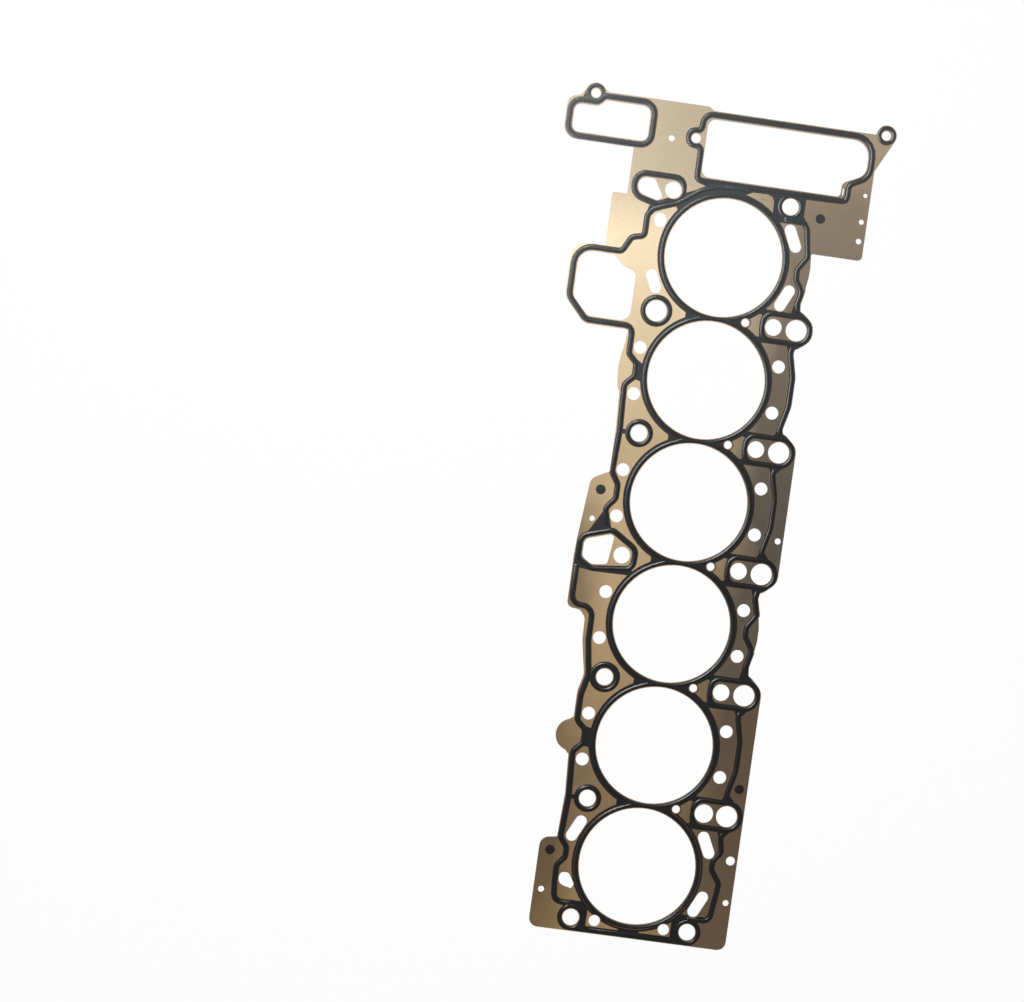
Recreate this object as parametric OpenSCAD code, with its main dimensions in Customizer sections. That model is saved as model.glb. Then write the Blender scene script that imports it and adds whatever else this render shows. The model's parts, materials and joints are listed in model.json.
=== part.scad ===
// Multi-layer steel cylinder head gasket for a straight six, lying flat, head side up.
// The origin is the centre of the head bolt field at mid thickness. +Y runs to the timing end.

/* [Cylinders] */
// Distance between neighbouring cylinder axes
bore_pitch = 91; // [90.5:0.1:92]
// Diameter of the hole over each cylinder
bore_d = 87; // [85:0.1:87.5]

/* [Head bolts] */
// Distance across the two rows of head bolts
bolt_span = 87.5; // [87:0.1:88.5]
// Distance from an end cylinder's axis to its end bolts
end_bolt_reach = 44; // [43.5:0.1:44.5]
// Diameter of a head bolt hole
bolt_hole_d = 12.4; // [11:0.1:12.8]
// Diameter of the locating sleeve hole on the left of the second row
left_sleeve_d = 15.4; // [13:0.1:15.6]
// Diameter of the locating sleeve hole on the right of the sixth row
right_sleeve_d = 13.8; // [13:0.1:14.2]
// Distance from a right-hand bolt to the drain hole beside it
drain_offset = 17.1; // [16.5:0.1:17.5]
// Diameter of each drain hole beside a right-hand bolt
drain_hole_d = 15.8; // [14:0.1:16]

/* [Coolant holes] */
// Diameter of a round coolant hole
coolant_d = 9.6; // [8:0.1:10]
// Distance from a cylinder's hole edge to the centre of its coolant holes
coolant_reach = 8.2; // [8:0.1:8.5]
// Distance of a coolant hole from the cylinder's centre line
coolant_rise = 17.2; // [16:0.1:18]
// Width of the slots beside the end cylinders
slot_w = 8.6; // [7:0.1:8.8]
// Diameter of the small hole in each web between cylinders
web_hole_d = 5.8; // [4:0.1:6]

/* [Layers] */
// Thickness of each embossed layer
layer_t = 0.3; // [0.25:0.01:0.4]
// Thickness of the plain spacer
spacer_t = 0.5; // [0.3:0.01:1]
// Thickness of the printed elastomer
print_t = 0.1; // [0.05:0.01:0.12]
// Height of an embossed bead
bead_h = 0.25; // [0.2:0.01:0.35]

/* [Beads] */
// Width of the printed band over each bead
band_w = 4.7; // [4.4:0.1:4.9]
// Width of an embossed bead
bead_w = 2.4; // [2.2:0.1:2.6]
// Width of the printed band around each cylinder hole
bore_band_w = 5.6; // [5.4:0.1:5.8]
// Sheet left outside a printed band
edge_margin = 0.6; // [0.5:0.1:0.7]
// Diameter of the round support dots
dot_d = 7.6; // [6:0.1:8]

/* [Small holes] */
// Diameter of the screw holes in the two top tabs and beside the case opening
screw_hole_d = 7; // [6:0.1:7.2]
// Diameter of the locating holes in the flaps
locating_hole_d = 4.6; // [4:0.1:5]

/* [Hidden] */

cylinders = 6;

// True while the block side is drawn
$block_side = false;

bore_r = bore_d / 2;
bolt_x = bolt_span / 2;
drain_x = bolt_x + drain_offset;
last = cylinders - 1;

// Sides of the sheet, counted from the cylinder holes
lobe_half = 10.1;
lobe_left = bolt_x - 8.3;
lobe_right = drain_x + 10;
flap_x = lobe_right + band_w / 2 + 0.3;
left_flap_x = bore_r + 30.8;
bottom_line_y = -last * bore_pitch - end_bolt_reach - 7.4;
bottom_edge_y = bottom_line_y - 2.9;
tab_r = 7.6;

// Drawn with cylinder 1 at zero, then moved to the middle of the row
middle_y = last * bore_pitch / 2;
outer_face_z = spacer_t / 2 + layer_t;

// Walls of the beads
bead_wall = 0.5;
print_setback = 0.4;
edge_clearance = 0.2;
film_gap = 0.1;
bore_bead_r = bore_r + 2.25;
bore_bead_land = 0.9;
case_slot_w = 4.5;
case_slot_l = 11;
web_print_reach = 22.2;
ring_bead_inset = 2.1;
crest_w = bead_w + 2 * print_t;
line_gap = 0.6;
over = 1;

// Facets of the round parts
$fn = 32;
bore_fn = 72;
small_arc_step = 30;
large_arc_step = 18;
large_arc_r = 6;

steel = [0.62, 0.53, 0.42];
spacer_grey = [0.64, 0.65, 0.66];
rubber = [0.09, 0.09, 0.095];

// Centre line of cylinder k, and of bolt row k from the timing end
function cyl_y(k) = -k * bore_pitch;
function row_y(k) = k == 0 ? end_bolt_reach
    : k > last ? cyl_y(last) - end_bolt_reach
    : cyl_y(k) + bore_pitch / 2;

// Points of a side, given as reach from the cylinder hole's edge, rise from cylinder k and fillet
function side(k, dir, pts) = [for (p = pts) [dir * (bore_r + p[0]), cyl_y(k) + p[1], p[2]]];

// Rounded paths: each point is x, y and the radius of its corner
function flat(p) = [p[0], p[1]];
function unit(v) = v / norm(v);
function turned(v, a) = [v[0] * cos(a) - v[1] * sin(a), v[0] * sin(a) + v[1] * cos(a)];
function corner(a, b, c, r) =
    let (u = unit(a - b), v = unit(c - b), half = acos(max(-1, min(1, u * v))) / 2)
    (r <= 0 || half > 88) ? [b] :
    let (leg = min(r / tan(half), 0.49 * min(norm(a - b), norm(c - b))),
         radius = leg * tan(half), centre = b + unit(u + v) * radius / sin(half),
         sweep = 180 - 2 * half, turn = (u[0] * v[1] - u[1] * v[0]) > 0 ? -1 : 1,
         step = radius < large_arc_r ? small_arc_step : large_arc_step,
         steps = max(2, ceil(sweep / step)), start = b + u * leg - centre)
    [for (i = [0 : steps]) centre + turned(start, turn * sweep * i / steps)];
function closed_path(pts) = let (n = len(pts))
    [for (i = [0 : n - 1]) each corner(flat(pts[(i + n - 1) % n]), flat(pts[i]), flat(pts[(i + 1) % n]), pts[i][2])];
function open_path(pts) = let (n = len(pts))
    [for (i = [0 : n - 1]) each (i == 0 || i == n - 1) ? [flat(pts[i])]
        : corner(flat(pts[i - 1]), flat(pts[i]), flat(pts[i + 1]), pts[i][2])];

// A path moved sideways, to the left of its direction
function shift_at(a, b, c, d) = let (n1 = turned(unit(b - a), 90), n2 = turned(unit(c - b), 90), m = unit(n1 + n2))
    b + m * d / (m * n1);
function shifted(pts, d, closed) = let (n = len(pts))
    [for (i = [0 : n - 1]) shift_at(
        (i == 0 && !closed) ? pts[0] * 2 - pts[1] : pts[(i + n - 1) % n], pts[i],
        (i == n - 1 && !closed) ? pts[n - 1] * 2 - pts[n - 2] : pts[(i + 1) % n], d)];
function backwards(pts) = [for (i = [len(pts) - 1 : -1 : 0]) pts[i]];

module stripe(line, w) {
    polygon(concat(shifted(line, w / 2, false), backwards(shifted(line, -w / 2, false))));
}

module loop_stripe(pts, w) {
    line = closed_path(pts);
    difference() {
        polygon(shifted(line, w / 2, true));
        polygon(shifted(line, -w / 2, true));
    }
}

module ring(at, r_out, r_in, fn) {
    translate(at) difference() {
        circle(r_out, $fn = fn);
        circle(r_in, $fn = fn);
    }
}

module slot(from, to, w) {
    along = to - from;
    translate(from) rotate(atan2(along[1], along[0])) {
        circle(d = w);
        translate([0, -w / 2]) square([norm(along), w]);
        translate([norm(along), 0]) circle(d = w);
    }
}

// Part of a point list that lies inside a box
function inside(pts, x, y) = [for (p = pts) if (p[0] > x[0] && p[0] < x[1] && p[1] > y[0] && p[1] < y[1]) p];
function arc(at, r, from, to, steps) = [for (i = [0 : steps]) let (a = from + (to - from) * i / steps)
    [at[0] + r * cos(a), at[1] + r * sin(a)]];

// Bead centre lines. All loops run clockwise, so the left of a loop is its outside.
port_screw = [-110, 106];
tab_screw = [106.7, 105.8];
case_screw = [-32.4, 83.9];

port_loop = [[-127, 73.2, 8], [-127, 99.8, 8], [-107.5, 99.8, 4], [-103, 104.9, 4],
             [-65, 104.9, 9], [-65, 73.2, 8]];
function case_loop() = concat(
    $block_side ? [[-21, 53.5, 4], [-25.5, 50.6, 3], [-34.3, 50.6, 3], [-34.3, 64.5, 3], [-27.8, 68.5, 3]]
        : [[-27.8, 53.5, 4]],
    [[-27.8, 78.2, 3.5], [-37.8, 78.8, 5], [-37.8, 89.2, 5], [-29.4, 89.8, 3.5], [-28.2, 102.6, 9.5],
     [98.6, 102.6, 18]],
    $block_side ? [[98.6, 73.5, 11], [87.3, 67, 4.5], [87.3, 49.8, 3.5], [78, 49.8, 3], [74, 53.5, 3]]
        : [[98.6, 73.5, 11], [84.3, 66, 4.5], [84.3, 53.5, 3.5]]);
breather_loop = [[-72.7, 36.5, 9], [-72.7, 53.4, 10], [-36.4, 53.4, 9], [-36.4, 39.6, 6], [-54.6, 32, 5]];
oil_y = row_y(3);
oil_feed_loop = [[-75.9, oil_y - 6.5, 5], [-75.9, oil_y + 10.6, 8], [-53.2, oil_y + 17.7, 7],
                 [-33.9, oil_y + 5.4, 7], [-34.5, oil_y - 9.1, 6], [-65.5, oil_y - 12.7, 8]];
function lobe_loop(k) = [[lobe_left, row_y(k) - lobe_half, 7], [lobe_left, row_y(k) + lobe_half, 7],
                         [lobe_right, row_y(k) + lobe_half, 9.8], [lobe_right, row_y(k) - lobe_half, 9.8]];

// Left edge line, from the timing end down
left_top = [[13, 51, 0], [0, 51, 30], [-12, 50, 30], [-23, 46.6, 20], [-35.5, 37.3, 9], [-40, 34.4, 9],
            [-50, 30.9, 20], [-56.6, 28, 5], [-60.1, 23, 5], [-60.1, 7.6, 3.6], [-69.2, 5.5, 4.5],
            [-75, -5.9, 4.5], [-108.9, -5.9, 13], [-108.9, -43.5, 9], [-94.6, -59.1, 7], [-59.3, -59.1, 6]];
left_upper = concat(left_top,
    side(1, -1, [[15.9, 11.5, 4], [9.4, 5.2, 4], [9.4, -4.4, 4], [16.1, -11.5, 5], [14.6, -45.5, 30]]),
    side(2, -1, [[16, 14.5, 6], [10.5, 6, 5], [10.5, -4.5, 5], [17, -12.5, 6], [14.5, -26, 0]]));
left_lower = concat([[-75.9, row_y(3) - 10.5, 0]],
    side(3, -1, [[32.4, 5, 7], [16, 5, 8.5], [16, -20, 20], [12.3, -45.5, 12]]),
    side(4, -1, [[15.9, 30, 20], [15.9, 11, 4], [9.1, 4.8, 4], [9.1, -5, 4], [16, -12, 5], [14.2, -45.5, 30]]),
    side(last, -1, [[16, 14, 5], [10.6, 7.5, 4.5], [10.6, 0, 4.5], [16.1, -6.5, 5], [16, -18, 20],
                    [14.6, -33.4, 6], [2, -33.4, 0]]));

// Right edge lines, one beside each cylinder
right_first = concat([[40, 33.8, 0], [57.4, 33.8, 6]],
    side(0, 1, [[18, 9, 5], [11.7, -0.9, 4.5], [11.7, -8.1, 4.5], [17.2, -17, 6], [15.1, -26, 6], [16, -33.4, 0]]));
right_plain = [[16, 33.4, 0], [15.2, 28.5, 6], [19.3, 11, 20], [19.3, -11, 20], [15.2, -28.5, 6], [16, -33.4, 0]];
right_stepped = [[16, 33.4, 0], [15.1, 27, 6], [18.1, 14.5, 5], [12, 5.6, 4.5], [12, -1.9, 4.5],
                 [18.1, -11, 5], [15.3, -24, 6], [16, -33.4, 0]];
right_last = [[16, 33.4, 0], [15.2, 29, 5], [17.2, 18.5, 5], [11.7, 11.3, 4.5], [11.7, 4.6, 4.5], [18.6, -5, 6],
              [17.2, -17, 12], [15.2, -33.7, 5], [-2, -33.7, 0]];
function right_line(k) = open_path(k == 0 ? right_first
    : side(k, 1, k == last ? right_last : k == 3 ? right_stepped : right_plain));

// Single bolts with a ring: row, side and the radius of the print around them
bolt_rings = [[2, -1, 10.5], [4, -1, 11.6], [5, -1, 10.5], [6, -1, 10.4], [6, 1, 10.4]];
first_ring_r = 8;
sleeve_ring_r = 9.6;
post_left = bolt_x - 12.55;
post_right = bolt_x + 10.9;
half = band_w / 2;

// Outer edge of the printed network, anticlockwise from the case opening's lower right corner
function network_edge() = let (
    case_edge = shifted(closed_path(case_loop()), half, true),
    joint_corner = [-36.6, 53],
    breather_edge = shifted(closed_path(breather_loop), half, true),
    oil_edge = shifted(closed_path(oil_feed_loop), half, true),
    upper_edge = shifted(open_path(left_upper), -half, false),
    lower_edge = shifted(open_path(left_lower), -half, false),
    print_bottom = bottom_edge_y + print_setback,
    ring_r = bolt_rings[3][2])
    concat($block_side ? [for (p = backwards(case_edge)) if (p[0] > -15 || p[1] > 57) p] : backwards(case_edge),
        $block_side ? [joint_corner] : inside(upper_edge, [-33.5, -20], [40, 50.6]),
        inside(backwards(breather_edge), [-90, $block_side ? joint_corner[0] - 1.4 : 0], [43, 90]),
        inside(backwards(breather_edge), [-90, -63], [0, 43]),
        [[-59.6, 30.6]],
        inside(upper_edge, [-150, -50], [oil_y + 22, 27.5]),
        inside(backwards(oil_edge), [-90, -64], [oil_y, 0]),
        inside(lower_edge, [-90, -50], [-2000, oil_y - 11]),
        arc([-bolt_x, row_y(cylinders)], ring_r, 130, 246, 6),
        [[-bolt_x, print_bottom], [bolt_x, print_bottom]],
        arc([bolt_x, row_y(cylinders)], ring_r, -66, 50, 6),
        [for (k = [last : -1 : 1]) each concat(
            inside(backwards(shifted(right_line(k), half, false)), [50, 90],
                [k == last ? -2000 : row_y(k + 1) + 14.5, row_y(k) - 14.5]),
            inside(backwards(shifted(closed_path(lobe_loop(k)), half, true)), [drain_x + 2, 90], [-2000, 0]))],
        inside(backwards(shifted(right_line(0), half, false)), [50, 90], [row_y(1) + 14.5, 33]),
        [[post_right, 38], [post_right, case_edge[0][1] - 0.5]]);

// Bare areas inside the network. Each one is trimmed by the rings around the cylinders.
module bay(k, pts) {
    difference() {
        polygon(pts);
        for (j = k) translate([0, cyl_y(j)]) circle(bore_r + bore_band_w, $fn = bore_fn);
        children();
    }
}

module ring_print(b) translate([b[1] * bolt_x, row_y(b[0])]) circle(b[2]);

module bridge(k) translate([-bolt_x - 16, row_y(k) - 2]) square([10, 3.6]);

module network_windows() {
    inner_upper = shifted(open_path(left_upper), half, false);
    inner_lower = shifted(open_path(left_lower), half, false);
    oil_edge = shifted(closed_path(oil_feed_loop), half, true);
    for (p = [case_loop(), breather_loop, oil_feed_loop]) polygon(shifted(closed_path(p), -half, true));
    for (k = [1 : last]) polygon(shifted(closed_path(lobe_loop(k)), -half, true));
    if ($block_side) polygon([[-33, 48], [-27, 48], [-33, 44.8]]);
    // Beside the timing case
    bay([0], [[8, 47], [15, 50.3], [26, 50.5], [29.4, 49], [post_left - 0.2, 46], [post_left, 34], [28, 36]]);
    // Left side
    bay([0, 1], concat([[-40.2, 32.1]], inside(inner_upper, [-150, -41], [-84, 32]),
        [[-bore_r - 2.5, cyl_y(1) + 4], [-web_print_reach, row_y(1) - 8], [-web_print_reach, row_y(1) + 8],
         [-bore_r - 1.5, 0], [-38, 29]]));
    bay([1, 2, 3], concat(inside(inner_upper, [-80, -41], [oil_y + 21, cyl_y(1) - 6]),
        inside(oil_edge, [-56, 0], [oil_y - 11, oil_y + 30]),
        [[-33.5, oil_y - 12.5], [-web_print_reach, oil_y - 12.5], [-web_print_reach, oil_y + 12], [-bore_r - 1.5, cyl_y(2)],
         [-web_print_reach, row_y(2) - 11], [-web_print_reach, row_y(2) + 11], [-bore_r - 1.5, cyl_y(1) - 8]])) {
        ring_print(bolt_rings[0]);
        bridge(2);
    }
    bay([3, 4], concat(inside(inner_lower, [-80, -41], [cyl_y(4) + 6, oil_y - 16]),
        [[-bore_r - 1.5, cyl_y(4) + 6], [-web_print_reach, row_y(4) - 11], [-web_print_reach, row_y(4) + 11],
         [-bore_r - 1.5, cyl_y(3)],
         [-36.5, oil_y - 14.2]],
        inside(oil_edge, [-68, -40], [oil_y - 30, oil_y - 8]), [[-73.5, oil_y - 13.5]])) ring_print(bolt_rings[1]);
    bay([4, last], concat(inside(inner_lower, [-80, -44], [-2000, cyl_y(4) - 7]),
        [[-36, cyl_y(last) - 31.05], [-bore_r - 1.5, cyl_y(last)], [-web_print_reach, row_y(5) - 11],
         [-web_print_reach, row_y(5) + 11], [-bore_r - 1.5, cyl_y(4) - 8]])) {
        ring_print(bolt_rings[2]);
        bridge(5);
    }
    // Between the right edge lines and the cylinders
    for (k = [0 : last]) {
        y = cyl_y(k);
        top = k == 0 ? 31.4 : bore_pitch / 2 - lobe_half - half;
        low = k == last ? -31 : lobe_half + half - bore_pitch / 2;
        line = shifted(right_line(k), -half, false);
        edge = inside(line, [49, 90], [y + low + 1.5, y + top - 1.5]);
        bay([k], concat([[36, y + top], [edge[0][0] - 1.5, y + top]], edge,
            [[edge[len(edge) - 1][0] - 1.5, y + low], [36, y + low], [40, y + low / 2], [45, y], [40, y + top / 2]]));
    }
    // Webs, between the small holes and the bolt loops
    for (k = [1 : last]) bay([k - 1, k], [[web_print_reach, row_y(k) - 9], [lobe_left - 1.55, row_y(k) - 8],
                                         [lobe_left - 1.55, row_y(k) + 8], [web_print_reach, row_y(k) + 9]]) {
        polygon(shifted(closed_path(lobe_loop(k)), half, true));
        translate([22.7, row_y(k) + 0.5]) circle(d = web_hole_d + 2.6);
    }
    // Below the last cylinder
    for (x = [[-32, -8], [8, 31]]) bay([last], [[x[0], bottom_line_y + half], [x[1], bottom_line_y + half],
                                                [x[1], cyl_y(last) - 37], [x[0], cyl_y(last) - 37]]);
}

// Beads, each a line or ring of its own: w is the width across
module seal_beads(w) {
    land = bore_bead_land + (bead_w - w) / 2;
    trim = (crest_w - w) / 2 + line_gap;
    difference() {
        loop_stripe(case_loop(), w);
        seal_holes(land);
    }
    difference() {
        loop_stripe(breather_loop, w);
        bolt_holes(land);
    }
    loop_stripe(oil_feed_loop, w);
    stripe(clipped(open_path(left_upper), trim), w);
    stripe(clipped(open_path(left_lower), trim), w);
    for (k = [0 : last]) stripe(clipped(right_line(k), trim), w);
    for (k = [1 : last]) difference() {
        loop_stripe(lobe_loop(k), w);
        bolt_holes(land);
        drain_holes(land);
    }
    for (k = [0 : last]) translate([0, cyl_y(k)]) ring([0, 0], bore_bead_r + w / 2, bore_bead_r - w / 2, bore_fn);
    for (b = bolt_rings) ring([b[1] * bolt_x, row_y(b[0])], b[2] - ring_bead_inset + w / 2,
                              b[2] - ring_bead_inset - w / 2, $fn);
    difference() {
        ring([bolt_x, row_y(0)], first_ring_r + w / 2, first_ring_r - w / 2, $fn);
        translate([20, 51.6 - trim]) square([50, 10]);
    }
    stripe(clipped([[-30, bottom_line_y], [30, bottom_line_y]], trim), w);
}

// A line shortened at both ends
function clipped(pts, d) = let (n = len(pts), a = unit(pts[1] - pts[0]), b = unit(pts[n - 2] - pts[n - 1]))
    [for (i = [0 : n - 1]) i == 0 ? pts[0] + a * d : i == n - 1 ? pts[i] + b * d : pts[i]];

module port_beads(w) {
    loop_stripe(port_loop, w);
    difference() {
        ring(port_screw, 5.4 + w / 2, 5.4 - w / 2, $fn);
        polygon(shifted(closed_path(port_loop), crest_w + w / 2, true));
    }
}

module tab_beads(w) ring(tab_screw, 5.5 + w / 2, 5.5 - w / 2, $fn);
module sleeve_beads(w) ring([-bolt_x, row_y(1)], sleeve_ring_r + w / 2, sleeve_ring_r - w / 2, $fn);

// Holes that the print and the beads keep clear of, grown by a land
module seal_holes(land) {
    bolt_holes(land);
    drain_holes(land);
    coolant_holes(land);
    translate(case_screw) circle(d = screw_hole_d + 2 * land);
    if ($block_side) case_joint_slots(land);
}

// Two slots in the block side for the joints of the timing case
module case_joint_slots(land) {
    for (p = [[-31.8, 53], [80.3, 52]])
        translate(p - [land, land]) square([case_slot_w + 2 * land, case_slot_l + 2 * land]);
}

module bolt_holes(land) {
    for (k = [0 : last + 1]) for (s = [-1, 1])
        translate([s * bolt_x, row_y(k)])
            circle(d = 2 * land + (k == 1 && s < 0 ? left_sleeve_d : k == 5 && s > 0 ? right_sleeve_d : bolt_hole_d));
}

module drain_holes(land) {
    for (k = [1 : last]) translate([drain_x, row_y(k)]) circle(d = drain_hole_d + 2 * land);
}

module coolant_holes(land) {
    x = bore_r + coolant_reach;
    d = coolant_d + 2 * land;
    for (k = [1 : last - 1]) for (s = [-1, 1]) for (t = [-1, 1])
        translate([s * x, cyl_y(k) + t * coolant_rise]) circle(d = d);
    slot([-x + 1.5, 21.8], [-x + 1.5, 20.2], d - 0.4);
    y = cyl_y(last);
    polygon(shifted(closed_path([[-56.6, y - 11.3, 5], [-49.8, y - 11.3, 2], [-44.8, y - 19.5, 2],
                                 [-46.6, y - 22.9, 1], [-56.6, y - 20.4, 5]]), land, true));
    for (s = [-1, 1]) translate([s * 26, cyl_y(last) - 44.4]) circle(d = d - 1.2);
    w = slot_w + 2 * land;
    slot([bore_r + 2.6, 27], [bore_r + 8, 15.4], w);
    slot([bore_r + 8, -17.4], [bore_r + 2.7, -28.8], w);
    slot([-bore_r - 7.3, -19.6], [-bore_r - 3.3, -28.6], w);
    for (p = [[1, 1], [1, -1], [-1, 1]]) translate([0, cyl_y(last)]) scale_pair(p)
        slot([bore_r + 2.6, 27.9], [bore_r + 8, 16.6], w);
}

module scale_pair(p) {
    mirror([p[0] < 0 ? 1 : 0, 0]) mirror([0, p[1] < 0 ? 1 : 0]) children();
}

module small_holes() {
    for (k = [1 : last]) translate([22.7, row_y(k) + 0.5]) circle(d = web_hole_d);
    if (!$block_side) translate([22.9, 45.6]) circle(d = 3);
    translate([-50.3, 81.3]) circle(d = locating_hole_d);
    translate([-69.3, cyl_y(2) - 21.5]) circle(d = locating_hole_d - 0.6);
    translate([flap_x - 4, cyl_y(2) - 19.6]) circle(d = locating_hole_d);
    translate([-68.5, cyl_y(last) - 26]) circle(d = locating_hole_d);
    translate([flap_x - 4.2, cyl_y(last) - 18.6]) circle(d = locating_hole_d);
    translate([flap_x - 5.1, cyl_y(last) + 13]) circle(d = 6.8);
    for (p = [[97.5, 60, 3.2], [97.3, 40.4, 3.8], [97.3, 26, 4.2]]) translate([p[0], p[1]]) circle(d = p[2]);
}

// Outline of the sheets, anticlockwise from the left of the port, with corner radii
function sheet_points() = concat(
    [[-129.8, 71, 9.5], [-77, 70.7, 0], [-77, 36.4, 0], [-87.9, 36.4, 1.5], [-87.9, -3.1, 0], [-111.9, -3.1, 14],
     [-111.9, -44.1, 8], [-95.5, -62, 8], [-62.3, -62, 1]],
    bulge(1, -1, 22.2), side(1, -1, [[18.9, -17, 4]]), side(1, -1, [[17.6, -45.5, 30]]),
    side(2, -1, [[17.9, 14.4, 1], [22, 12.4, 4], [30.8, 7.6, 7], [34.8, -38, 0], [35.4, -50, 0]]),
    side(3, -1, [[35.4, 11, 8], [35.4, 2.6, 7], [25, 1.4, 4], [20.9, -4, 4], [20.4, -20, 10], [17.8, -35, 10],
                 [15.6, -45.5, 12]]),
    side(4, -1, [[18.8, 33, 14], [18.8, 13.5, 0]]),
    arc_r([-61.8, cyl_y(4) - 0.4], 12, 105, 253), side(4, -1, [[18.8, -15, 0], [17.2, -44, 20]]),
    side(last, -1, [[18.6, 14.2, 1]]),
    [[-left_flap_x, cyl_y(last) + 12.4, 9.5], [-left_flap_x, bottom_edge_y, 6.5],
     [flap_x, bottom_edge_y, 6.5], [flap_x, row_y(4) + 5, 10]],
    side(3, 1, [[21, -31.8, 9], [18.6, -30.6, 2], [18.2, -24, 4], [20.9, -12, 10]]),
    bulge(3, 1, 21.5), side(3, 1, [[20.9, 14.5, 6], [17.8, 27, 4], [18.4, 31.6, 2], [21, 32.4, 9]]),
    [[flap_x, row_y(3) - 5, 10], [flap_x, row_y(2) + 5, 10]],
    side(1, 1, [[21, -32.4, 9], [18.4, -31.4, 2], [17.9, -28, 6], [21.9, -11, 14], [21.9, 11, 14], [17.9, 28, 6],
                [18.4, 31.4, 2], [21, 32.4, 9]]),
    [[flap_x - 0.4, row_y(1) - 6, 10], [flap_x - 0.4, row_y(1) + 6, 10]],
    side(0, 1, [[21, -32.4, 9], [18.4, -31.4, 2], [17.9, -26, 6], [20, -16, 8]]),
    bulge(0, 1, 21.2), [[64, 12, 3], [101.5, 12, 3], [101.5, 78.6, 2]],
    arc_r(tab_screw, tab_r, -30, 128), [[98.8, 105.5, 1], [-22, 105.5, 2], [-26, 108.1, 2], [-68, 108.1, 0],
     [-101, 107.9, 3]],
    arc_r(port_screw, tab_r, 44, 148), [[-120.6, 103.4, 3], [-129.8, 100.6, 9]]);
// The swell of the sheet beside cylinder k, as an arc concentric with it, in path order
function bulge(k, dir, reach) = arc_r([0, cyl_y(k)], bore_r + reach,
    dir > 0 ? -12 : 166, dir > 0 ? (k == 0 ? 9 : 12) : 193);
function arc_r(at, r, from, to) = [for (p = arc(at, r, from, to, ceil(abs(to - from) / 8))) [p[0], p[1], 0]];

module large_openings() {
    polygon(shifted(closed_path(port_loop), -half - edge_margin, true));
    case_right = $block_side ? 79.2 : 81.2;
    polygon(closed_path([[-25.1, 56.5, 6], [-25.1, 99.6, 6], [95.8, 99.6, 15], [95.8, 75, 9],
                         [case_right, 66.9, 4], [case_right, 56.5, 3]]));
    // Side pocket
    polygon(closed_path([[-105.8, -8.8, 10], [-79.5, -8.8, 3], [-73, -15.5, 6], [-62.3, -19.5, 5],
                         [-62.3, -56.1, 8], [-93.5, -56.1, 6], [-105.8, -43.6, 8]]));
    // Breather and oil feed openings
    polygon(closed_path([[-69.8, 39, 6], [-69.8, 50.5, 7], [-58, 50.5, 2], [-50.4, 37.4, 2.5], [-54.6, 34.8, 2]]));
    polygon(closed_path([[-72.8, oil_y - 4.8, 4], [-72.8, oil_y + 8.4, 5], [-53.6, oil_y + 14.2, 1.5],
                         [-51, oil_y + 12.6, 1.5], [-53.6, oil_y - 8.2, 3], [-65.3, oil_y - 9.6, 6]]));
}

module sheet_outline() {
    difference() {
        polygon(closed_path(sheet_points()));
        for (k = [0 : last]) translate([0, cyl_y(k)]) circle(bore_r, $fn = bore_fn);
        large_openings();
        seal_holes(0);
        small_holes();
        translate(port_screw) circle(d = screw_hole_d);
        translate(tab_screw) circle(d = screw_hole_d);
    }
}

module all_beads(w) {
    seal_beads(w);
    port_beads(w);
    tab_beads(w);
    sleeve_beads(w);
}

// A functional layer with its outer face at z = 0, upwards, and its beads standing on it
module embossed_layer() {
    groove_w = bead_w - 2 * bead_wall;
    difference() {
        union() {
            translate([0, 0, -layer_t]) linear_extrude(layer_t) sheet_outline();
            linear_extrude(bead_h) all_beads(bead_w);
        }
        translate([0, 0, -layer_t - over]) linear_extrude(over + bead_h) all_beads(groove_w);
    }
}

// Film over an area and its beads, lying on a layer whose outer face is at z = 0:
// the area, the beads' outside and the beads' inside
module film_over() {
    difference() {
        union() {
            linear_extrude(print_t) children(0);
            linear_extrude(bead_h + print_t) children(1);
        }
        translate([0, 0, -over]) linear_extrude(over + bead_h) children(2);
    }
}

module seal_area() {
    difference() {
        intersection() {
            polygon(network_edge());
            polygon(shifted(closed_path(sheet_points()), edge_clearance, true));
        }
        network_windows();
        seal_holes(print_setback);
        translate([-bolt_x, row_y(1)]) circle(sleeve_ring_r + half + film_gap);
        for (k = [0 : last]) translate([0, cyl_y(k)]) circle(bore_r + print_setback, $fn = bore_fn);
        for (k = [1 : last]) translate([22.7, row_y(k) + 0.5]) circle(d = web_hole_d + 2 * print_setback);
    }
}

module port_area() {
    difference() {
        polygon(concat(inside(shifted(closed_path(port_loop), half, true), [-150, -119], [0, 200]),
            arc(port_screw, tab_r - print_setback, 165, 8, 8),
            inside(shifted(closed_path(port_loop), half, true), [-101, 0], [0, 200])));
        polygon(shifted(closed_path(port_loop), -half, true));
        translate(port_screw) circle(d = screw_hole_d + 2 * print_setback);
    }
}

module seal_print() film_over() { seal_area(); seal_beads(crest_w); seal_beads(bead_w); }
module port_print() film_over() { port_area(); port_beads(crest_w); port_beads(bead_w); }
module tab_print() film_over() {
    ring(tab_screw, tab_r - print_setback, screw_hole_d / 2 + print_setback, $fn);
    tab_beads(crest_w);
    tab_beads(bead_w);
}
module sleeve_print() film_over() {
    ring([-bolt_x, row_y(1)], sleeve_ring_r + half, left_sleeve_d / 2 + print_setback, $fn);
    sleeve_beads(crest_w);
    sleeve_beads(bead_w);
}

module support_dots() {
    for (p = [[66.8, 38.3], [-66, cyl_y(2) + 0.5], [67.3, cyl_y(4) - 24], [-66, cyl_y(last) + 4]])
        translate(p) cylinder(d = dot_d, h = print_t);
}

module on_head_side() translate([0, middle_y, outer_face_z]) children();
module on_block_side() {
    $block_side = true;
    mirror([0, 0, 1]) on_head_side() children();
}

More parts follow.
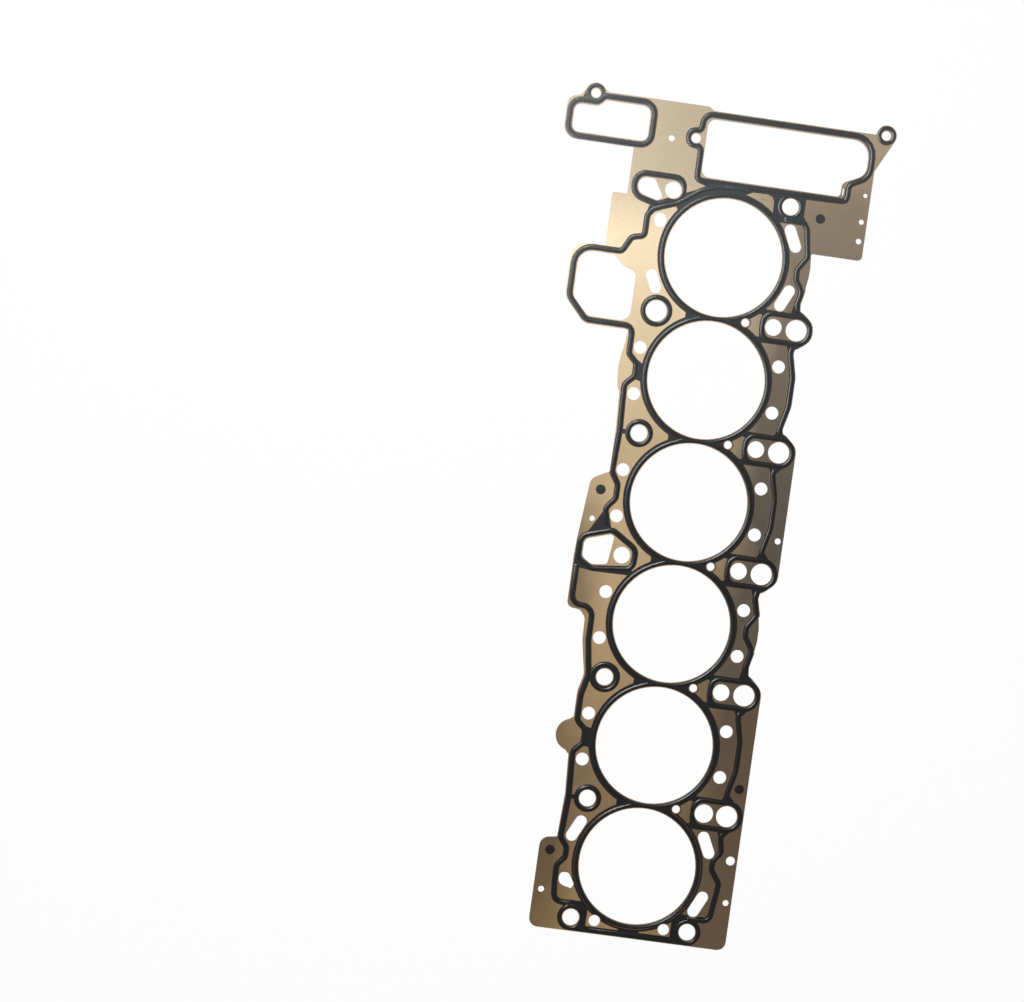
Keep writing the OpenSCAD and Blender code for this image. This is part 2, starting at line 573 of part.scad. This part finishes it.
module head_side_layer() color(steel) on_head_side() embossed_layer();
module bare_spacer_layer() color(spacer_grey) translate([0, middle_y, -spacer_t / 2]) linear_extrude(spacer_t) sheet_outline();
module block_side_layer() color(steel) on_block_side() embossed_layer();

module head_side_seal_print() color(rubber) on_head_side() seal_print();
module head_side_port_print() color(rubber) on_head_side() port_print();
module head_side_tab_print() color(rubber) on_head_side() tab_print();
module head_side_sleeve_print() color(rubber) on_head_side() sleeve_print();
module head_side_support_dots() color(rubber) on_head_side() support_dots();

module block_side_seal_print() color(rubber) on_block_side() seal_print();
module block_side_port_print() color(rubber) on_block_side() port_print();
module block_side_tab_print() color(rubber) on_block_side() tab_print();
module block_side_sleeve_print() color(rubber) on_block_side() sleeve_print();
module block_side_support_dots() color(rubber) on_block_side() support_dots();

head_side_layer();
bare_spacer_layer();
block_side_layer();
head_side_seal_print();
head_side_port_print();
head_side_tab_print();
head_side_sleeve_print();
head_side_support_dots();
block_side_seal_print();
block_side_port_print();
block_side_tab_print();
block_side_sleeve_print();
block_side_support_dots();
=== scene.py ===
import json
import math

import bmesh
import bpy
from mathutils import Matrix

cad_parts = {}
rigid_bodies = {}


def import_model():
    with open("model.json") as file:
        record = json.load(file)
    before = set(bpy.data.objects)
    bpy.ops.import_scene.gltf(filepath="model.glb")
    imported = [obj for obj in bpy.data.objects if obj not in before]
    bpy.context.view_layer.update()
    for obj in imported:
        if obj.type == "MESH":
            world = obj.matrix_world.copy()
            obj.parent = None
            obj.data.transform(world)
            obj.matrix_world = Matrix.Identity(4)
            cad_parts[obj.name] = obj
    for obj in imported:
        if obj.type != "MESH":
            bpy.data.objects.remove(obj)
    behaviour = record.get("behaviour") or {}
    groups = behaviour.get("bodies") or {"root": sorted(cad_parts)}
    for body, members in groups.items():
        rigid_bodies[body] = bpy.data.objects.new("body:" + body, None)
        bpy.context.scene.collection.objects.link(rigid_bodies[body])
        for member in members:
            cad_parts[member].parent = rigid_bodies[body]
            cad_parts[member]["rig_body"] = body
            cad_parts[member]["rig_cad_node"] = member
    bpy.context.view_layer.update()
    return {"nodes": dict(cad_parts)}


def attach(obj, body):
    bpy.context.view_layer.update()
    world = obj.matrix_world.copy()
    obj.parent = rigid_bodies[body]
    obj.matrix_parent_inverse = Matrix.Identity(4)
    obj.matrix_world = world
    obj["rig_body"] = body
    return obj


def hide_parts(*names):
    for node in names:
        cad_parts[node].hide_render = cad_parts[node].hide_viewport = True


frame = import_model()
print("gasket frame loaded")

sameLevel = 0.000002  # heights closer than this are one level
mergeGap = 0.000001  # vertices closer than this are one


def inEdit(piece):
    bpy.ops.object.select_all(action="DESELECT")
    piece.select_set(True)
    bpy.context.view_layer.objects.active = piece
    bpy.ops.object.mode_set(mode="EDIT")
    bpy.ops.mesh.select_mode(type="FACE")


def backToObject():
    bpy.ops.object.mode_set(mode="OBJECT")


def newNode(tree, kind, x, y, **values):
    node = tree.nodes.new(kind)
    node.location = (x, y)
    for name, value in values.items():
        node.inputs[name.replace("_", " ")].default_value = value
    return node


def mixColour(tree, x, y, mode, factor, first, second):
    node = tree.nodes.new("ShaderNodeMix")
    node.data_type = "RGBA"
    node.blend_type = mode
    node.location = (x, y)
    for socket, value in ((node.inputs[0], factor), (node.inputs[6], first), (node.inputs[7], second)):
        if isinstance(value, bpy.types.NodeSocket):
            tree.links.new(value, socket)
        else:
            socket.default_value = value
    return node.outputs[2]


def calc(tree, x, y, operation, first, second=0.0, clamp=False):
    node = tree.nodes.new("ShaderNodeMath")
    node.operation = operation
    node.use_clamp = clamp
    node.location = (x, y)
    for socket, value in zip(node.inputs, (first, second)):
        if isinstance(value, bpy.types.NodeSocket):
            tree.links.new(value, socket)
        else:
            socket.default_value = value
    return node.outputs[0]


def spread(tree, x, y, value, low, high, outLow=0.0, outHigh=1.0):
    node = tree.nodes.new("ShaderNodeMapRange")
    node.location = (x, y)
    tree.links.new(value, node.inputs["Value"])
    for name, number in (("From Min", low), ("From Max", high), ("To Min", outLow), ("To Max", outHigh)):
        node.inputs[name].default_value = number
    return node.outputs[0]


def ramp(tree, x, y, value, stops):
    node = tree.nodes.new("ShaderNodeValToRGB")
    node.location = (x, y)
    elements = node.color_ramp.elements
    while len(elements) < len(stops):
        elements.new(0.5)
    for element, (place, colour) in zip(elements, stops):
        element.position = place
        element.color = (*colour, 1)
    tree.links.new(value, node.inputs[0])
    return node.outputs[0]


def makeGrainGroup():
    group = bpy.data.node_groups.new("surfaceGrain", "ShaderNodeTree")
    sockets = group.interface
    sockets.new_socket("Vector", in_out="INPUT", socket_type="NodeSocketVector")
    for name, start in (("Fine Scale", 1500.0), ("Broad Scale", 12.0), ("Stretch", 1.0)):
        sockets.new_socket(name, in_out="INPUT", socket_type="NodeSocketFloat").default_value = start
    for name in ("Fine", "Broad", "Speck"):
        sockets.new_socket(name, in_out="OUTPUT", socket_type="NodeSocketFloat")
    into = group.nodes.new("NodeGroupInput")
    out = group.nodes.new("NodeGroupOutput")
    into.location = (-900, 0)
    out.location = (400, 0)
    squeeze = group.nodes.new("ShaderNodeCombineXYZ")
    squeeze.location = (-700, -200)
    squeeze.inputs["X"].default_value = 1
    squeeze.inputs["Z"].default_value = 1
    group.links.new(into.outputs["Stretch"], squeeze.inputs["Y"])
    along = group.nodes.new("ShaderNodeVectorMath")
    along.operation = "MULTIPLY"
    along.location = (-500, -50)
    group.links.new(into.outputs["Vector"], along.inputs[0])
    group.links.new(squeeze.outputs[0], along.inputs[1])
    fine = newNode(group, "ShaderNodeTexNoise", -250, 200, Detail=3.0, Roughness=0.6)
    broad = newNode(group, "ShaderNodeTexNoise", -250, -50, Detail=4.0, Roughness=0.55)
    speck = newNode(group, "ShaderNodeTexVoronoi", -250, -300, Randomness=1.0)
    group.links.new(along.outputs[0], fine.inputs["Vector"])
    group.links.new(into.outputs["Fine Scale"], fine.inputs["Scale"])
    group.links.new(into.outputs["Vector"], broad.inputs["Vector"])
    group.links.new(into.outputs["Broad Scale"], broad.inputs["Scale"])
    group.links.new(into.outputs["Vector"], speck.inputs["Vector"])
    group.links.new(into.outputs["Fine Scale"], speck.inputs["Scale"])
    group.links.new(fine.outputs["Fac"], out.inputs["Fine"])
    group.links.new(broad.outputs["Fac"], out.inputs["Broad"])
    tone = group.nodes.new("ShaderNodeSeparateColor")
    tone.location = (100, -300)
    group.links.new(speck.outputs["Color"], tone.inputs[0])
    group.links.new(tone.outputs[0], out.inputs["Speck"])
    return group


grainGroup = makeGrainGroup()


def startMaterial(name):
    material = bpy.data.materials.new(name)
    material.use_nodes = True
    tree = material.node_tree
    shader = tree.nodes["Principled BSDF"]
    shader.location = (300, 0)
    tree.nodes["Material Output"].location = (600, 0)
    where = newNode(tree, "ShaderNodeTexCoord", -1500, 0)
    return material, tree, shader, where.outputs["Object"]


def addGrain(tree, where, fineScale, broadScale, stretch):
    node = tree.nodes.new("ShaderNodeGroup")
    node.node_tree = grainGroup
    node.location = (-1200, -300)
    node.inputs["Fine Scale"].default_value = fineScale
    node.inputs["Broad Scale"].default_value = broadScale
    node.inputs["Stretch"].default_value = stretch
    tree.links.new(where, node.inputs["Vector"])
    return node.outputs["Fine"], node.outputs["Broad"], node.outputs["Speck"]


def addRoughness(tree, shader, speck, low, high):
    tree.links.new(spread(tree, 0, -150, speck, 0.0, 1.0, low, high), shader.inputs["Roughness"])


def addBump(tree, shader, height, strength, distance):
    bump = newNode(tree, "ShaderNodeBump", 50, -350, Strength=strength, Distance=distance)
    tree.links.new(height, bump.inputs["Height"])
    tree.links.new(bump.outputs[0], shader.inputs["Normal"])


# The sheet's colour ramps hold the lacquer's colour with painted light: brighter towards the top left,
# darker towards the right and the bottom
lacquer = {
    "leftTanPaintedLight": [(0.02, (0.38, 0.25, 0.115)), (0.14, (0.26, 0.17, 0.087)), (0.28, (0.36, 0.24, 0.12)),
                (0.42, (0.44, 0.305, 0.165)), (0.56, (0.46, 0.335, 0.19)), (0.69, (0.57, 0.44, 0.275)),
                (0.80, (0.72, 0.57, 0.38)), (0.87, (0.43, 0.35, 0.24)), (0.93, (0.40, 0.32, 0.22))],
    "rightTanPaintedLight": [(0.02, (0.145, 0.097, 0.056)), (0.26, (0.118, 0.080, 0.050)),
                 (0.38, (0.108, 0.084, 0.058)), (0.50, (0.095, 0.079, 0.058)),
                 (0.63, (0.125, 0.100, 0.072)), (0.80, (0.205, 0.160, 0.112)),
                 (0.87, (0.25, 0.19, 0.13)), (0.93, (0.36, 0.28, 0.19))],
    "lowest": -0.29, "highest": 0.36, "leftEnd": 0.0, "rightStart": 0.048, "wander": 0.015,
    "flankStart": -0.05, "flankEnd": -0.078, "flankTop": 0.58, "flankFull": 0.50, "flankPaintedShade": 0.5,
    "cutEdge": (0.42, 0.40, 0.38), "fineScale": 1600.0, "broadScale": 9.0, "stretch": 0.35,
    "roughness": (0.36, 0.50), "metallic": 0.25, "specular": 0.3, "bump": 0.12, "bumpDepth": 0.00005,
}


def makeLacquer():
    material, tree, shader, where = startMaterial("bronzeLacquer")
    fine, broad, speck = addGrain(tree, where, lacquer["fineScale"], lacquer["broadScale"],
                                  lacquer["stretch"])
    axes = newNode(tree, "ShaderNodeSeparateXYZ", -1200, 200)
    tree.links.new(where, axes.inputs[0])
    # painted light: colour ramps along the height and across the sheet stand in for the softbox's
    # reflection
    wander = spread(tree, -1000, 60, broad, 0.3, 0.7, -lacquer["wander"], lacquer["wander"])
    height = calc(tree, -1000, 220, "ADD", axes.outputs["Y"], wander)
    along = spread(tree, -800, 220, height, lacquer["lowest"], lacquer["highest"])
    left = ramp(tree, -600, 220, along, lacquer["leftTanPaintedLight"])
    right = ramp(tree, -600, 420, along, lacquer["rightTanPaintedLight"])
    across = calc(tree, -1000, 400, "ADD", axes.outputs["X"], wander)
    # painted shade: the far left of the lower half is darker
    flank = spread(tree, -800, 800, across, lacquer["flankStart"], lacquer["flankEnd"])
    lower = spread(tree, -800, 950, along, lacquer["flankTop"], lacquer["flankFull"])
    shade = calc(tree, -600, 900, "MULTIPLY", flank, lower)
    shade = spread(tree, -400, 900, shade, 0.0, 1.0, 1.0, lacquer["flankPaintedShade"])
    left = mixColour(tree, -400, 100, "MULTIPLY", 1.0, left, shade)
    share = spread(tree, -800, 600, across, lacquer["leftEnd"], lacquer["rightStart"])
    tanAndPaintedLight = mixColour(tree, -300, 240, "MIX", share, left, right)
    mottle = spread(tree, -600, -100, broad, 0.3, 0.7, 0.93, 1.07)
    grain = spread(tree, -600, -260, fine, 0.3, 0.7, 0.95, 1.05)
    both = calc(tree, -400, -180, "MULTIPLY", mottle, grain)
    tanAndPaintedLight = mixColour(tree, -100, 200, "MULTIPLY", 1.0, tanAndPaintedLight, both)
    # upright faces are the bare cut edge
    surface = newNode(tree, "ShaderNodeNewGeometry", -600, 600)
    facing = newNode(tree, "ShaderNodeSeparateXYZ", -400, 600)
    tree.links.new(surface.outputs["True Normal"], facing.inputs[0])
    flat = calc(tree, -250, 600, "ABSOLUTE", facing.outputs["Z"])
    cut = spread(tree, -100, 600, flat, 0.6, 0.3)
    tanAndPaintedLight = mixColour(tree, 100, 300, "MIX", cut, tanAndPaintedLight, (*lacquer["cutEdge"], 1))
    tree.links.new(tanAndPaintedLight, shader.inputs["Base Color"])
    addRoughness(tree, shader, speck, *lacquer["roughness"])
    shader.inputs["Metallic"].default_value = lacquer["metallic"]
    shader.inputs["Specular IOR Level"].default_value = lacquer["specular"]
    addBump(tree, shader, fine, lacquer["bump"], lacquer["bumpDepth"])
    return material


zinc = {
    "pale": (0.62, 0.63, 0.64), "deep": (0.44, 0.45, 0.46), "spangle": 700.0, "broadScale": 15.0,
    "roughness": (0.35, 0.6), "metallic": 0.6, "bump": 0.15, "bumpDepth": 0.00005,
}


def makeZinc():
    material, tree, shader, where = startMaterial("zincSpangle")
    fine, _, speck = addGrain(tree, where, zinc["spangle"], zinc["broadScale"], 1.0)
    tone = ramp(tree, -300, 200, speck, [(0.1, zinc["deep"]), (0.9, zinc["pale"])])
    tree.links.new(tone, shader.inputs["Base Color"])
    shader.inputs["Metallic"].default_value = zinc["metallic"]
    addRoughness(tree, shader, speck, *zinc["roughness"])
    addBump(tree, shader, fine, zinc["bump"], zinc["bumpDepth"])
    return material


# The print's two tones carry a painted reflection: grey towards the top, near black towards the bottom
elastomer = {
    "upperPaintedSheen": (0.042, 0.047, 0.049), "lower": (0.003, 0.0031, 0.0031), "lowest": 0.05, "highest": 0.38,
    "wander": 0.02, "fineScale": 2200.0, "broadScale": 14.0, "roughness": (0.35, 0.47), "specular": 0.1,
    "coat": 0.8, "coatRoughness": 0.24, "bump": 0.03, "bumpDepth": 0.00004,
}


def makeElastomer():
    material, tree, shader, where = startMaterial("printedElastomer")
    fine, broad, speck = addGrain(tree, where, elastomer["fineScale"], elastomer["broadScale"], 1.0)
    axes = newNode(tree, "ShaderNodeSeparateXYZ", -1200, 200)
    tree.links.new(where, axes.inputs[0])
    wander = spread(tree, -1000, 60, broad, 0.3, 0.7, -elastomer["wander"], elastomer["wander"])
    height = calc(tree, -1000, 220, "ADD", axes.outputs["Y"], wander)
    along = spread(tree, -800, 220, height, elastomer["lowest"], elastomer["highest"])
    # painted reflection: the print turns from near black to grey towards the top
    tone = ramp(tree, -600, 220, along, [(0.0, elastomer["lower"]), (1.0, elastomer["upperPaintedSheen"])])
    grain = spread(tree, -600, -260, fine, 0.3, 0.7, 0.85, 1.15)
    tone = mixColour(tree, -200, 200, "MULTIPLY", 1.0, tone, grain)
    tree.links.new(tone, shader.inputs["Base Color"])
    addRoughness(tree, shader, speck, *elastomer["roughness"])
    shader.inputs["Specular IOR Level"].default_value = elastomer["specular"]
    shader.inputs["Coat Weight"].default_value = elastomer["coat"]
    shader.inputs["Coat Roughness"].default_value = elastomer["coatRoughness"]
    addBump(tree, shader, fine, elastomer["bump"], elastomer["bumpDepth"])
    return material


printRim = {
    "brown": (0.13, 0.060, 0.028), "orange": (0.42, 0.22, 0.10), "serration": 620.0, "broadScale": 10.0,
    "litFrom": -0.15, "litTo": 0.25, "mostOrange": 0.8, "roughness": (0.45, 0.65),
}


def makePrintRim():
    material, tree, shader, where = startMaterial("printRim")
    fine, _, speck = addGrain(tree, where, printRim["serration"], printRim["broadScale"], 1.0)
    axes = newNode(tree, "ShaderNodeSeparateXYZ", -1200, 200)
    tree.links.new(where, axes.inputs[0])
    # painted light: the rim turns from brown to orange towards the upper left
    lit = calc(tree, -900, 200, "SUBTRACT", axes.outputs["Y"], axes.outputs["X"])
    lit = spread(tree, -700, 200, lit, printRim["litFrom"], printRim["litTo"], 0.0, printRim["mostOrange"])
    tooth = spread(tree, -700, 0, fine, 0.42, 0.58)
    share = calc(tree, -500, 100, "MULTIPLY", lit, tooth)
    tone = mixColour(tree, -300, 200, "MIX", share, (*printRim["brown"], 1), (*printRim["orange"], 1))
    tree.links.new(tone, shader.inputs["Base Color"])
    addRoughness(tree, shader, speck, *printRim["roughness"])
    return material


bronzeLacquer = makeLacquer()
zincSpangle = makeZinc()
printedElastomer = makeElastomer()
rimMaterial = makePrintRim()
print("finishes made")


# Each bead in the frame is a flat-topped step. Small insets slope its sides.
bead = {
    "insets": (0.00028, 0.00034, 0.00034), "shares": (0.0, 0.12, 0.56), "stepNormal": 0.5,
    "unfoldRounds": 4, "foldedBelow": 0.2, "pullBack": 0.7, "smoothUpTo": 40,
}
# Heights above the gasket's middle, and the print's thin edge
printed = {
    "innerZ": 0.00025, "faceZ": 0.00055, "topZ": 0.00065, "ceilingZ": 0.00080, "crestZ": 0.00090,
    "rimWidth": 0.00028, "rimLift": 0.00002, "rimNormal": 0.4, "topSlack": 0.00001,
}


def copyOfNode(nodeName, pieceName):
    bpy.ops.object.select_all(action="DESELECT")
    node = frame["nodes"][nodeName]
    node.select_set(True)
    bpy.context.view_layer.objects.active = node
    bpy.ops.object.duplicate()
    piece = bpy.context.active_object
    piece.name = pieceName
    piece.data.name = pieceName
    piece.parent = None
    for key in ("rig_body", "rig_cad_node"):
        if key in piece:
            del piece[key]
    piece.data.materials.clear()
    inEdit(piece)
    bpy.ops.mesh.select_all(action="SELECT")
    bpy.ops.mesh.remove_doubles(threshold=mergeGap)
    bpy.ops.mesh.customdata_custom_splitnormals_clear()
    backToObject()
    return piece


def unfold(kept, facing):
    # Where a strip is narrower than its inset, the inset goes back towards the edge that it came from
    for _ in range(bead["unfoldRounds"]):
        folded = set()
        for face in {f for v in kept for f in v.link_faces}:
            face.normal_update()
            if face.normal.z * facing < bead["foldedBelow"]:
                folded.update(v for v in face.verts if v in kept)
        for vertex in folded:
            outer = [edge.other_vert(vertex) for edge in vertex.link_edges]
            outer = [other for other in outer if other not in kept]
            if outer:
                place = sum((v.co for v in outer), outer[0].co * 0) / len(outer)
                vertex.co.x += (place.x - vertex.co.x) * bead["pullBack"]
                vertex.co.y += (place.y - vertex.co.y) * bead["pullBack"]


def pressBeads(piece, side, level, base, facing):
    # side is 1 for the head side and -1 for the block side; facing is the way the step's face looks
    inEdit(piece)
    mesh = bmesh.from_edit_mesh(piece.data)
    for face in mesh.faces:
        flat = all(abs(v.co.z * side - level) < sameLevel for v in face.verts)
        face.select_set(flat and face.normal.z * side * facing > bead["stepNormal"])
    if not any(face.select for face in mesh.faces):
        backToObject()
        return
    bmesh.update_edit_mesh(piece.data)
    for width, share in zip(bead["insets"], bead["shares"]):
        bpy.ops.mesh.inset(thickness=width, use_boundary=True, use_even_offset=False)
        mesh = bmesh.from_edit_mesh(piece.data)
        kept = {v for face in mesh.faces if face.select for v in face.verts}
        for vertex in kept:
            vertex.co.z = side * level
        unfold(kept, side * facing)
        for vertex in mesh.verts:
            if abs(vertex.co.z * side - level) < sameLevel and vertex not in kept:
                vertex.co.z = side * (base + (level - base) * share)
        bmesh.update_edit_mesh(piece.data)
    bpy.ops.mesh.select_all(action="SELECT")
    bpy.ops.mesh.remove_doubles(threshold=mergeGap)
    backToObject()


def thinRim(piece, side):
    # The print runs out to a thin brown edge
    inEdit(piece)
    mesh = bmesh.from_edit_mesh(piece.data)
    for face in mesh.faces:
        low = min(v.co.z * side for v in face.verts)
        onTop = low > printed["topZ"] - printed["topSlack"]
        face.select_set(face.normal.z * side > printed["rimNormal"] and onTop)
    bmesh.update_edit_mesh(piece.data)
    bpy.ops.mesh.inset(thickness=printed["rimWidth"], use_boundary=True, use_even_offset=False)
    mesh = bmesh.from_edit_mesh(piece.data)
    kept = {v for face in mesh.faces if face.select for v in face.verts}
    for vertex in kept:
        vertex.co.z = side * min(vertex.co.z * side, printed["crestZ"])
    unfold(kept, side)
    top = [face for face in mesh.faces if face.select]
    strip = {face for v in kept for face in v.link_faces
             if not face.select and face.normal.z * side > printed["rimNormal"]}
    for face in strip:
        face.material_index = 1
        for vertex in face.verts:
            if vertex not in kept:
                vertex.co.z = side * (printed["faceZ"] + printed["rimLift"])
    bmesh.update_edit_mesh(piece.data)
    backToObject()
    return len(top), len(strip)


def softenShading(piece, side, flatLevels):
    # Ridges are smooth, and a flat area keeps a crisp start
    piece.data.shade_smooth()
    mesh = bmesh.new()
    mesh.from_mesh(piece.data)
    for edge in mesh.edges:
        if len(edge.link_faces) != 2:
            edge.smooth = False
            continue
        flat = [any(all(abs(v.co.z * side - level) < sameLevel for v in face.verts)
                    for level in flatLevels) for face in edge.link_faces]
        edge.smooth = flat[0] == flat[1] and edge.calc_face_angle(0) < math.radians(bead["smoothUpTo"])
    mesh.to_mesh(piece.data)
    mesh.free()


def dressPrint(nodeName, pieceName, side):
    piece = copyOfNode(nodeName, pieceName)
    pressBeads(piece, side, printed["crestZ"], printed["topZ"], 1)
    pressBeads(piece, side, printed["ceilingZ"], printed["faceZ"], -1)
    counts = thinRim(piece, side)
    piece.data.materials.append(printedElastomer)
    piece.data.materials.append(rimMaterial)
    softenShading(piece, side, (printed["topZ"], printed["faceZ"], printed["crestZ"]))
    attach(piece, "root")
    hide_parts(nodeName)
    print(pieceName, "faces", len(piece.data.polygons), "top and rim", counts)


def dressLayer(nodeName, pieceName, side):
    piece = copyOfNode(nodeName, pieceName)
    pressBeads(piece, side, printed["ceilingZ"], printed["faceZ"], 1)
    piece.data.materials.append(bronzeLacquer)
    softenShading(piece, side, (printed["faceZ"], printed["ceilingZ"], printed["innerZ"]))
    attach(piece, "root")
    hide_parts(nodeName)
    print(pieceName, "faces", len(piece.data.polygons))


prints = {"seal_print": "SealPrint", "port_print": "PortPrint", "tab_print": "TabPrint",
          "sleeve_print": "SleevePrint", "support_dots": "SupportDots"}
for sideName, side in (("head_side", 1), ("block_side", -1)):
    pieceStart = sideName.replace("_side", "Side")
    dressLayer(sideName + "_layer", pieceStart + "Layer", side)
    for nodeEnd, pieceEnd in prints.items():
        dressPrint(sideName + "_" + nodeEnd, pieceStart + pieceEnd, side)

spacer = frame["nodes"]["bare_spacer_layer"]
spacer.data.materials.clear()
spacer.data.materials.append(zincSpangle)
print("sheets and prints dressed")


studio = {"floorZ": -0.00092, "floorSize": 12.0, "floorTone": 0.9, "glowShare": 0.9, "air": 0.30}


def makeFloor():
    bpy.ops.mesh.primitive_plane_add(size=studio["floorSize"], location=(0, 0, studio["floorZ"]))
    floor = bpy.context.active_object
    floor.name = "floor"
    material = bpy.data.materials.new("whiteTable")
    material.use_nodes = True
    tree = material.node_tree
    shader = tree.nodes["Principled BSDF"]
    shader.inputs["Base Color"].default_value = (*[studio["floorTone"]] * 3, 1)
    shader.inputs["Roughness"].default_value = 0.9
    glow = newNode(tree, "ShaderNodeEmission", 0, 300)
    glow.inputs["Color"].default_value = (1, 1, 1, 1)
    glow.inputs["Strength"].default_value = 1.0  # only the camera and reflections see it
    path = newNode(tree, "ShaderNodeLightPath", -600, 300)
    seen = calc(tree, -350, 350, "ADD", path.outputs["Is Camera Ray"], path.outputs["Is Glossy Ray"])
    seen = calc(tree, -200, 350, "ADD", seen, path.outputs["Is Transmission Ray"], clamp=True)
    share = calc(tree, -50, 450, "MULTIPLY", seen, studio["glowShare"])
    mix = newNode(tree, "ShaderNodeMixShader", 300, 200)
    tree.links.new(share, mix.inputs[0])
    tree.links.new(shader.outputs[0], mix.inputs[1])
    tree.links.new(glow.outputs[0], mix.inputs[2])
    tree.links.new(mix.outputs[0], tree.nodes["Material Output"].inputs["Surface"])
    floor.data.materials.append(material)


def areaLamp(name, place, turn, size, power, tint):
    bpy.ops.object.light_add(type="AREA", location=place, rotation=[math.radians(a) for a in turn])
    lamp = bpy.context.active_object
    lamp.name = name
    lamp.data.shape = "RECTANGLE"
    lamp.data.size, lamp.data.size_y = size
    lamp.data.energy = power
    lamp.data.color = tint


makeFloor()
areaLamp("stripSoftbox", (-0.30, 0.62, 1.5), (-19, -11, 0), (0.22, 1.3), 20, (0.97, 0.99, 1.0))
areaLamp("warmFill", (-0.7, 0.5, 1.3), (-15, -28, 0), (0.6, 0.6), 3, (1.0, 0.95, 0.88))

world = bpy.data.worlds.new("studioAir")
bpy.context.scene.world = world
world.use_nodes = True
air = world.node_tree.nodes["Background"]
air.inputs["Color"].default_value = (1, 1, 1, 1)
air.inputs["Strength"].default_value = studio["air"]

view = {"place": (-0.1667, 0.0542, 1.2006), "turn": (-1.46, -1.58, 7.96), "lens": 57.3}
bpy.ops.object.camera_add(location=view["place"], rotation=[math.radians(a) for a in view["turn"]])
camera = bpy.context.active_object
camera.name = "camera"
camera.data.lens = view["lens"]
camera.data.sensor_width = 36
bpy.context.scene.camera = camera
bpy.context.scene.view_settings.view_transform = "Standard"
print("table, light and camera set")
